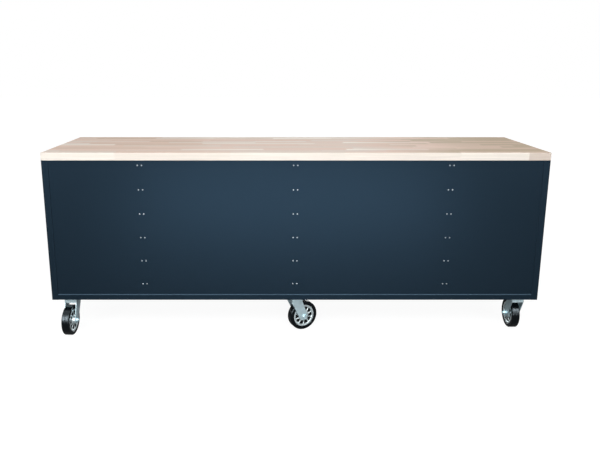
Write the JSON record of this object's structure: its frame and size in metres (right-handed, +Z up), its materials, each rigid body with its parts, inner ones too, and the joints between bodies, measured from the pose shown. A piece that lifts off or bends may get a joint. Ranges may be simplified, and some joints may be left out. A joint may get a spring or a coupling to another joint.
{
  "type": "rolling tool cabinet",
  "caption": "Long rolling workbench cabinet: dark powder-coated steel carcass with drawers in four bays, a flush butcher-block worktop, a riveted back and swivel casters.",
  "frame": {"origin": "on the floor, under the middle of the cabinet", "axes": "+X along the cabinet to the right of someone at the drawers, +Y to the riveted back, +Z up"},
  "size_m": [2.438, 0.7272, 0.936],
  "materials": {
    "wood_butcher_block": "oiled satin staves",
    "carcass_powder_coat": "fine-textured dark powder coat",
    "drawer_powder_coat": "fine-textured dark powder coat",
    "zinc_steel": "bright zinc plate",
    "rivet_aluminium": "plain",
    "rim_silver": "cast, silver lacquer",
    "tyre_rubber": "matt black rubber",
    "lock_chrome": "bright"
  },
  "bodies": {
    "cabinet": {"worktop": "wood_butcher_block", "back_panel": "carcass_powder_coat", "left_side_panel": "carcass_powder_coat", "right_side_panel": "carcass_powder_coat", "base_frame": "carcass_powder_coat", "top_deck": "carcass_powder_coat", "left_divider": "carcass_powder_coat", "centre_divider": "carcass_powder_coat", "right_divider": "carcass_powder_coat", "left_side_liner": "carcass_powder_coat", "right_side_liner": "carcass_powder_coat", "slide_rails": "zinc_steel", "back_rivets": "rivet_aluminium", "caster_channels": "carcass_powder_coat", "caster_plates": "zinc_steel", "caster_bolts": "zinc_steel", "lock_bezel": "lock_chrome"},
    "lock_barrel": {"lock_barrel": "lock_chrome"},
    "left_outer_drawer_1": {"left_outer_drawer_1": "drawer_powder_coat"},
    "left_outer_drawer_2": {"left_outer_drawer_2": "drawer_powder_coat"},
    "left_outer_drawer_3": {"left_outer_drawer_3": "drawer_powder_coat"},
    "left_inner_drawer_1": {"left_inner_drawer_1": "drawer_powder_coat"},
    "left_inner_drawer_2": {"left_inner_drawer_2": "drawer_powder_coat"},
    "left_inner_drawer_3": {"left_inner_drawer_3": "drawer_powder_coat"},
    "left_inner_drawer_4": {"left_inner_drawer_4": "drawer_powder_coat"},
    "left_inner_drawer_5": {"left_inner_drawer_5": "drawer_powder_coat"},
    "right_inner_drawer_1": {"right_inner_drawer_1": "drawer_powder_coat"},
    "right_inner_drawer_2": {"right_inner_drawer_2": "drawer_powder_coat"},
    "right_inner_drawer_3": {"right_inner_drawer_3": "drawer_powder_coat"},
    "right_inner_drawer_4": {"right_inner_drawer_4": "drawer_powder_coat"},
    "right_inner_drawer_5": {"right_inner_drawer_5": "drawer_powder_coat"},
    "right_outer_drawer_1": {"right_outer_drawer_1": "drawer_powder_coat"},
    "right_outer_drawer_2": {"right_outer_drawer_2": "drawer_powder_coat"},
    "right_outer_drawer_3": {"right_outer_drawer_3": "drawer_powder_coat"},
    "front_left_caster": {"front_left_fork": "zinc_steel", "front_left_axle": "zinc_steel"},
    "front_left_wheel": {"front_left_rim": "rim_silver", "front_left_tyre": "tyre_rubber"},
    "front_left_pedal": {"front_left_pedal": "zinc_steel"},
    "front_middle_caster": {"front_middle_fork": "zinc_steel", "front_middle_axle": "zinc_steel"},
    "front_middle_wheel": {"front_middle_rim": "rim_silver", "front_middle_tyre": "tyre_rubber"},
    "front_right_caster": {"front_right_fork": "zinc_steel", "front_right_axle": "zinc_steel"},
    "front_right_wheel": {"front_right_rim": "rim_silver", "front_right_tyre": "tyre_rubber"},
    "front_right_pedal": {"front_right_pedal": "zinc_steel"},
    "rear_left_caster": {"rear_left_fork": "zinc_steel", "rear_left_axle": "zinc_steel"},
    "rear_left_wheel": {"rear_left_rim": "rim_silver", "rear_left_tyre": "tyre_rubber"},
    "rear_middle_caster": {"rear_middle_fork": "zinc_steel", "rear_middle_axle": "zinc_steel"},
    "rear_middle_wheel": {"rear_middle_rim": "rim_silver", "rear_middle_tyre": "tyre_rubber"},
    "rear_right_caster": {"rear_right_fork": "zinc_steel", "rear_right_axle": "zinc_steel"},
    "rear_right_wheel": {"rear_right_rim": "rim_silver", "rear_right_tyre": "tyre_rubber"}
  },
  "joints": [
    {"name": "lock_turn", "type": "hinge", "parent": "cabinet", "child": "lock_barrel", "pos_m": [0.375, -0.305, 0.88225], "axis": [0, 1, 0], "range_deg": [0, 90]},
    {"name": "left_outer_drawer_1_slide", "type": "slide", "parent": "cabinet", "child": "left_outer_drawer_1", "axis": [0, -1, 0], "range_m": [0, 0.4]},
    {"name": "left_outer_drawer_2_slide", "type": "slide", "parent": "cabinet", "child": "left_outer_drawer_2", "axis": [0, -1, 0], "range_m": [0, 0.4]},
    {"name": "left_outer_drawer_3_slide", "type": "slide", "parent": "cabinet", "child": "left_outer_drawer_3", "axis": [0, -1, 0], "range_m": [0, 0.4]},
    {"name": "left_inner_drawer_1_slide", "type": "slide", "parent": "cabinet", "child": "left_inner_drawer_1", "axis": [0, -1, 0], "range_m": [0, 0.4]},
    {"name": "left_inner_drawer_2_slide", "type": "slide", "parent": "cabinet", "child": "left_inner_drawer_2", "axis": [0, -1, 0], "range_m": [0, 0.4]},
    {"name": "left_inner_drawer_3_slide", "type": "slide", "parent": "cabinet", "child": "left_inner_drawer_3", "axis": [0, -1, 0], "range_m": [0, 0.4]},
    {"name": "left_inner_drawer_4_slide", "type": "slide", "parent": "cabinet", "child": "left_inner_drawer_4", "axis": [0, -1, 0], "range_m": [0, 0.4]},
    {"name": "left_inner_drawer_5_slide", "type": "slide", "parent": "cabinet", "child": "left_inner_drawer_5", "axis": [0, -1, 0], "range_m": [0, 0.4]},
    {"name": "right_inner_drawer_1_slide", "type": "slide", "parent": "cabinet", "child": "right_inner_drawer_1", "axis": [0, -1, 0], "range_m": [0, 0.4]},
    {"name": "right_inner_drawer_2_slide", "type": "slide", "parent": "cabinet", "child": "right_inner_drawer_2", "axis": [0, -1, 0], "range_m": [0, 0.4]},
    {"name": "right_inner_drawer_3_slide", "type": "slide", "parent": "cabinet", "child": "right_inner_drawer_3", "axis": [0, -1, 0], "range_m": [0, 0.4]},
    {"name": "right_inner_drawer_4_slide", "type": "slide", "parent": "cabinet", "child": "right_inner_drawer_4", "axis": [0, -1, 0], "range_m": [0, 0.4]},
    {"name": "right_inner_drawer_5_slide", "type": "slide", "parent": "cabinet", "child": "right_inner_drawer_5", "axis": [0, -1, 0], "range_m": [0, 0.4]},
    {"name": "right_outer_drawer_1_slide", "type": "slide", "parent": "cabinet", "child": "right_outer_drawer_1", "axis": [0, -1, 0], "range_m": [0, 0.4]},
    {"name": "right_outer_drawer_2_slide", "type": "slide", "parent": "cabinet", "child": "right_outer_drawer_2", "axis": [0, -1, 0], "range_m": [0, 0.4]},
    {"name": "right_outer_drawer_3_slide", "type": "slide", "parent": "cabinet", "child": "right_outer_drawer_3", "axis": [0, -1, 0], "range_m": [0, 0.4]},
    {"name": "front_left_swivel", "type": "hinge", "parent": "cabinet", "child": "front_left_caster", "pos_m": [-1.137, -0.24, 0.19], "axis": [0, 0, 1], "continuous": true},
    {"name": "front_left_roll", "type": "hinge", "parent": "front_left_caster", "child": "front_left_wheel", "pos_m": [-1.12092, -0.28417, 0.076], "axis": [0.9397, 0.342, 0], "continuous": true},
    {"name": "front_left_brake", "type": "hinge", "parent": "front_left_caster", "child": "front_left_pedal", "pos_m": [-1.13016, -0.25879, 0.165], "axis": [0.9397, 0.342, 0], "range_deg": [0, 9.5]},
    {"name": "front_middle_swivel", "type": "hinge", "parent": "cabinet", "child": "front_middle_caster", "pos_m": [0, -0.24, 0.19], "axis": [0, 0, 1], "continuous": true},
    {"name": "front_middle_roll", "type": "hinge", "parent": "front_middle_caster", "child": "front_middle_wheel", "pos_m": [-0.04417, -0.22393, 0.076], "axis": [-0.342, -0.9397, 0], "continuous": true},
    {"name": "front_right_swivel", "type": "hinge", "parent": "cabinet", "child": "front_right_caster", "pos_m": [1.137, -0.24, 0.19], "axis": [0, 0, 1], "continuous": true},
    {"name": "front_right_roll", "type": "hinge", "parent": "front_right_caster", "child": "front_right_wheel", "pos_m": [1.13987, -0.28691, 0.076], "axis": [0.9981, 0.061, 0], "continuous": true},
    {"name": "front_right_brake", "type": "hinge", "parent": "front_right_caster", "child": "front_right_pedal", "pos_m": [1.13822, -0.25996, 0.165], "axis": [0.9981, 0.061, 0], "range_deg": [0, 9.5]},
    {"name": "rear_left_swivel", "type": "hinge", "parent": "cabinet", "child": "rear_left_caster", "pos_m": [-1.137, 0.24, 0.19], "axis": [0, 0, 1], "continuous": true},
    {"name": "rear_left_roll", "type": "hinge", "parent": "rear_left_caster", "child": "rear_left_wheel", "pos_m": [-1.13659, 0.193, 0.076], "axis": [1, 0.0087, 0], "continuous": true},
    {"name": "rear_middle_swivel", "type": "hinge", "parent": "cabinet", "child": "rear_middle_caster", "pos_m": [0, 0.24, 0.19], "axis": [0, 0, 1], "continuous": true},
    {"name": "rear_middle_roll", "type": "hinge", "parent": "rear_middle_caster", "child": "rear_middle_wheel", "pos_m": [-0.04242, 0.21977, 0.076], "axis": [0.4305, -0.9026, 0], "continuous": true},
    {"name": "rear_right_swivel", "type": "hinge", "parent": "cabinet", "child": "rear_right_caster", "pos_m": [1.137, 0.24, 0.19], "axis": [0, 0, 1], "continuous": true},
    {"name": "rear_right_roll", "type": "hinge", "parent": "rear_right_caster", "child": "rear_right_wheel", "pos_m": [1.13987, 0.28691, 0.076], "axis": [-0.9981, 0.061, 0], "continuous": true}
  ]
}
